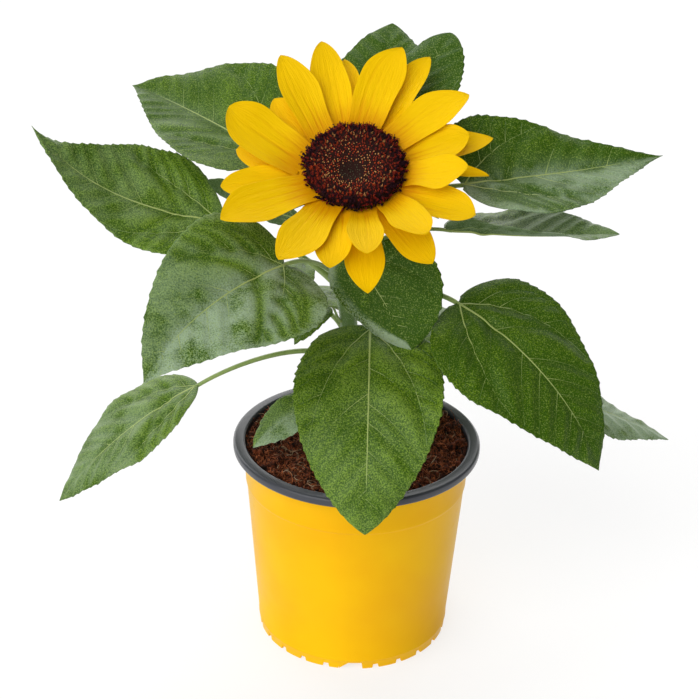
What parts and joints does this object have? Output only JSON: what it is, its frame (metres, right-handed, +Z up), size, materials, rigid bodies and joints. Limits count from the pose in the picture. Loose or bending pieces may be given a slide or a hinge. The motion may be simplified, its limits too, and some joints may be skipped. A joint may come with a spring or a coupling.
{
  "type": "potted dwarf sunflower plant",
  "caption": "Compact sunflower in a round plastic nursery pot: one open yellow bloom with a dark disc, broad pointed leaves on long stalks, moist peat soil.",
  "frame": {"origin": "centre of the level pad on the pot's underside, where the pot stands", "axes": "+Z up the pot's axis, -Y the side that the bloom faces, +X to the right of someone looking at the bloom's face"},
  "size_m": [0.3402, 0.2269, 0.3124],
  "materials": {
    "pot": "smooth satin-gloss yellow polypropylene outside, dark grey inside and on the lip",
    "soil": "moist dark brown peat with coarse coconut fibre, fully rough",
    "stem": "ridged pale green stem with short stiff hairs, satin",
    "leaves": "rough-hairy mid to dark green blade with paler raised veins, soft grey sheen, lighter underside",
    "disc": "velvety dark maroon florets with rust brown tips and an olive brown middle",
    "bracts": "hairy mid green, matt",
    "petals": "warm golden yellow with fine lengthwise ridges, more orange at the base, soft satin"
  },
  "bodies": {
    "root": {"bloom_disc": "disc", "bloom_cup": "bracts", "ray_01": "petals", "ray_02": "petals", "ray_03": "petals", "ray_04": "petals", "ray_05": "petals", "ray_06": "petals", "ray_07": "petals", "ray_08": "petals", "ray_09": "petals", "ray_10": "petals", "ray_11": "petals", "ray_12": "petals", "ray_13": "petals", "ray_14": "petals", "ray_15": "petals", "ray_16": "petals", "ray_17": "petals", "ray_18": "petals", "ray_19": "petals", "ray_20": "petals", "ray_21": "petals", "ray_22": "petals", "ray_23": "petals", "ray_24": "petals", "pot": "pot", "soil": "soil", "stem": "stem", "leaf_01_small_low": "leaves", "leaf_02_low_right": "leaves", "leaf_03_low_left": "leaves", "leaf_04_low_back_right": "leaves", "leaf_05_back": "leaves", "leaf_06_back_left": "leaves", "leaf_07_young": "leaves", "leaf_08_front": "leaves", "leaf_09_front_right": "leaves", "leaf_10_left": "leaves", "leaf_11_front_left": "leaves", "leaf_12_right": "leaves", "leaf_13_under_bloom": "leaves", "leaf_14_small_left": "leaves", "leaf_15_upper_left": "leaves", "leaf_16_upper_right": "leaves", "leaf_17_top_back": "leaves", "leaf_18_top_right": "leaves"}
  },
  "joints": []
}
